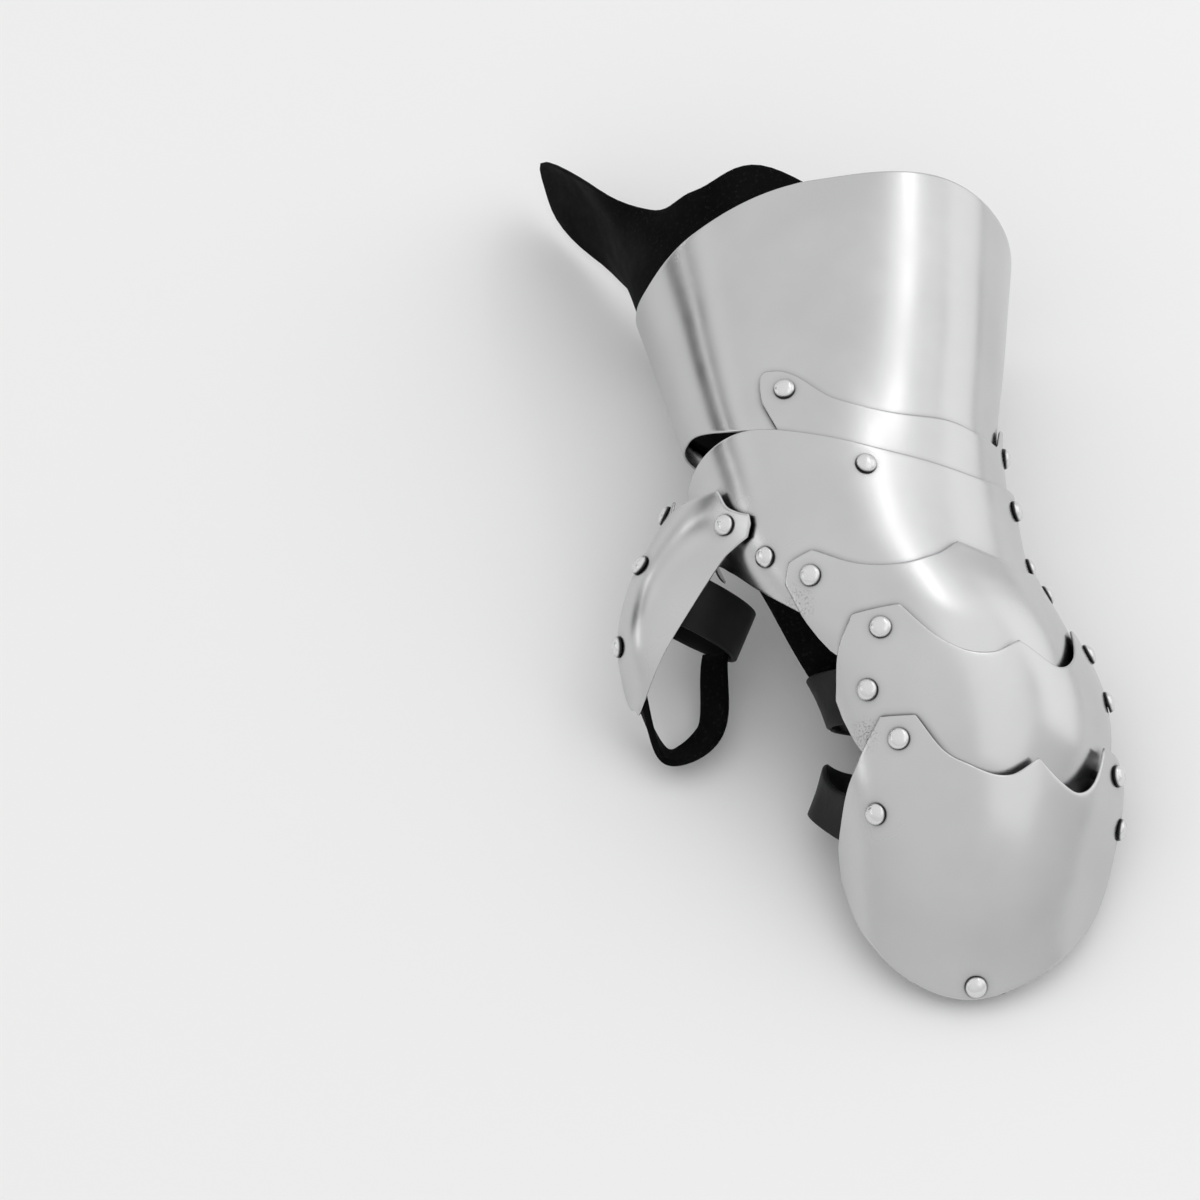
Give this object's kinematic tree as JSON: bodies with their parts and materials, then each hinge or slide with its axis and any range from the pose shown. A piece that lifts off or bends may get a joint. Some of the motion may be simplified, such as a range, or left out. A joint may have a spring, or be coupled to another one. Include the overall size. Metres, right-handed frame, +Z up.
{
  "type": "mitten gauntlet",
  "caption": "Left-hand mitten gauntlet of riveted steel plates: flared cuff, wrist lame, hand plate, domed finger lames, tip plate and thumb plate, held to the hand by leather straps and bands.",
  "frame": {"origin": "middle of the outer box on the floor that the gauntlet lies on", "axes": "+Z up, -Y towards the finger tips, -X towards the thumb side"},
  "size_m": [0.2146, 0.3794, 0.1043],
  "materials": {
    "steel": "satin polished",
    "rivet_steel": "satin polished, slightly hammered",
    "suede": "black suede",
    "strap_leather": "smooth dark strap leather"
  },
  "bodies": {
    "cuff": {"cuff": "steel", "forearm_lining": "suede"},
    "wrist": {"wrist_lame": "steel", "wrist_rivet_thumb_side": "rivet_steel", "wrist_rivet_outer_side": "rivet_steel"},
    "hand": {"hand_plate": "steel", "knuckle_lame": "steel", "middle_lame": "steel", "tip_plate": "steel", "thumb_plate": "steel", "finger_strap": "suede", "finger_band_middle": "strap_leather", "finger_band_tip": "strap_leather", "thumb_ring": "strap_leather", "thumb_strap": "suede", "hand_hinge_rivet_thumb_side": "rivet_steel", "hand_hinge_rivet_outer_side": "rivet_steel", "strap_rivet_hand": "rivet_steel", "edge_rivet_hand": "rivet_steel", "knuckle_rivet_thumb_side": "rivet_steel", "knuckle_rivet_outer_side": "rivet_steel", "middle_rivet_thumb_side": "rivet_steel", "middle_rivet_outer_side": "rivet_steel", "middle_band_rivet_thumb_side": "rivet_steel", "middle_band_rivet_outer_side": "rivet_steel", "tip_rivet_thumb_side": "rivet_steel", "tip_rivet_outer_side": "rivet_steel", "tip_band_rivet_thumb_side": "rivet_steel", "tip_band_rivet_outer_side": "rivet_steel", "tip_rivet_end": "rivet_steel", "thumb_ear_rivet_inner": "rivet_steel", "thumb_ear_rivet_outer": "rivet_steel", "thumb_ring_rivet": "rivet_steel", "thumb_strap_rivet": "rivet_steel"}
  },
  "joints": [
    {"name": "wrist_lame_hinge", "type": "hinge", "parent": "cuff", "child": "wrist", "pos_m": [0.02797, 0.0195, 0.06607], "axis": [0.905, -0.0074, -0.4253], "range_deg": [-7, 2.5]},
    {"name": "hand_plate_hinge", "type": "hinge", "parent": "wrist", "child": "hand", "pos_m": [0.04305, -0.01106, 0.06696], "axis": [0.8514, 0.0752, -0.5191], "range_deg": [-5, 1.5]}
  ]
}
